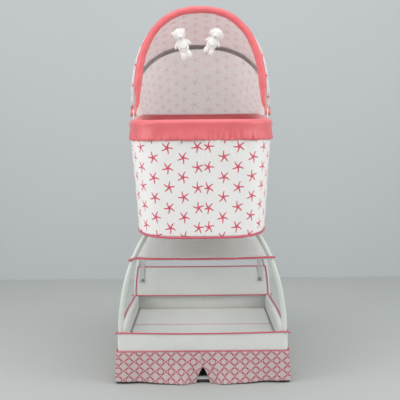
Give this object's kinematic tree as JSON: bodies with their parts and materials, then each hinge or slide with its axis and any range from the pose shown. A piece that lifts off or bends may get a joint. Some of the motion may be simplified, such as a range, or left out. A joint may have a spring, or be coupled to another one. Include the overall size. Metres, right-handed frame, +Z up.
{
  "type": "rocking bassinet",
  "caption": "Baby bassinet with a folding hood and hanging toys on arched legs with curved rockers, swing-up feet, shelf and storage bin.",
  "frame": {"origin": "on the floor under the middle of the object, between the end frames", "axes": "+Z up, +Y towards the head end with the hood, +X across to the right hand when seen from the foot end"},
  "size_m": [0.5456, 0.826, 1.186],
  "materials": {
    "white_tube": "satin powder coat",
    "grey_wire": "satin coating",
    "white_plastic": "fine moulded texture",
    "black_rubber": "matt moulded rubber",
    "steel_pin": "zinc plate",
    "coral_satin": "satin weave",
    "white_cloth": "plain cotton with a coral starfish print",
    "pale_cloth": "plain weave",
    "lattice_cloth": "plain cotton with a rose trellis print",
    "lining_cloth": "plain cotton",
    "mattress_cloth": "quilted cotton",
    "fibreboard": "white faced board",
    "plush": "short pile plush",
    "cord": "twisted cotton cord"
  },
  "bodies": {
    "stand_and_basket": {"basket_cloth": "white_cloth", "basket_frame": "grey_wire", "basket_liner": "lining_cloth", "basket_piping": "coral_satin", "bin_back_cloth": "pale_cloth", "bin_cloth": "pale_cloth", "bin_floor_board": "pale_cloth", "front_left_foot_pin": "steel_pin", "front_left_leg_socket": "white_plastic", "front_leg_arch": "white_tube", "front_right_foot_pin": "steel_pin", "front_right_leg_socket": "white_plastic", "front_rocker": "white_tube", "front_rocker_pad": "black_rubber", "front_saddle": "white_plastic", "hood_back_cloth": "white_cloth", "left_hood_hub": "white_plastic", "left_lattice_skirt": "lattice_cloth", "left_lower_rail": "white_tube", "left_upper_rail": "white_tube", "mattress": "mattress_cloth", "mattress_board": "fibreboard", "rear_left_foot_pin": "steel_pin", "rear_left_leg_socket": "white_plastic", "rear_leg_arch": "white_tube", "rear_right_foot_pin": "steel_pin", "rear_right_leg_socket": "white_plastic", "rear_rocker": "white_tube", "rear_rocker_pad": "black_rubber", "rear_saddle": "white_plastic", "right_hood_hub": "white_plastic", "right_lattice_skirt": "lattice_cloth", "right_lower_rail": "white_tube", "right_upper_rail": "white_tube", "rim_band": "coral_satin", "rim_tube": "grey_wire", "shelf_cloth": "pale_cloth"},
    "hood_front": {"front_bow": "white_tube", "hood_trim": "coral_satin"},
    "hood_middle": {"middle_bow": "white_tube", "hood_front_cloth": "white_cloth"},
    "toy_left": {"left_toy_string": "cord", "left_toy_body": "plush", "left_toy_head": "plush", "left_toy_left_arm": "plush", "left_toy_right_arm": "plush", "left_toy_left_leg": "plush", "left_toy_right_leg": "plush"},
    "toy_right": {"right_toy_string": "cord", "right_toy_body": "plush", "right_toy_head": "plush", "right_toy_left_arm": "plush", "right_toy_right_arm": "plush", "right_toy_left_leg": "plush", "right_toy_right_leg": "plush"},
    "foot_front_left": {"front_left_foot": "black_rubber"},
    "foot_front_right": {"front_right_foot": "black_rubber"},
    "foot_rear_left": {"rear_left_foot": "black_rubber"},
    "foot_rear_right": {"rear_right_foot": "black_rubber"}
  },
  "joints": [
    {"name": "middle_fold", "type": "hinge", "parent": "stand_and_basket", "child": "hood_middle", "pos_m": [0, 0, 0.83], "axis": [-1, 0, 0], "range_deg": [0, 36], "deforming": ["hood_back_cloth"]},
    {"name": "front_fold", "type": "hinge", "parent": "hood_middle", "child": "hood_front", "pos_m": [0, 0, 0.83], "axis": [-1, 0, 0], "range_deg": [0, 36], "deforming": ["hood_front_cloth"]},
    {"name": "toy_left_swing", "type": "hinge", "parent": "hood_front", "child": "toy_left", "pos_m": [-0.064, 0, 1.15197], "axis": [1, 0, 0], "range_deg": [-35, 75]},
    {"name": "toy_right_swing", "type": "hinge", "parent": "hood_front", "child": "toy_right", "pos_m": [0.0476, 0, 1.15642], "axis": [1, 0, 0], "range_deg": [-35, 75]},
    {"name": "foot_front_left_hinge", "type": "hinge", "parent": "stand_and_basket", "child": "foot_front_left", "pos_m": [-0.2495, -0.295, 0.021], "axis": [1, 0, 0], "range_deg": [0, 95]},
    {"name": "foot_front_right_hinge", "type": "hinge", "parent": "stand_and_basket", "child": "foot_front_right", "pos_m": [0.2495, -0.295, 0.021], "axis": [1, 0, 0], "range_deg": [0, 95]},
    {"name": "foot_rear_left_hinge", "type": "hinge", "parent": "stand_and_basket", "child": "foot_rear_left", "pos_m": [-0.2495, 0.295, 0.021], "axis": [-1, 0, 0], "range_deg": [0, 95]},
    {"name": "foot_rear_right_hinge", "type": "hinge", "parent": "stand_and_basket", "child": "foot_rear_right", "pos_m": [0.2495, 0.295, 0.021], "axis": [-1, 0, 0], "range_deg": [0, 95]}
  ],
  "couplings": [
    {"joint": "front_fold", "follows": "middle_fold", "ratio": 1}
  ]
}
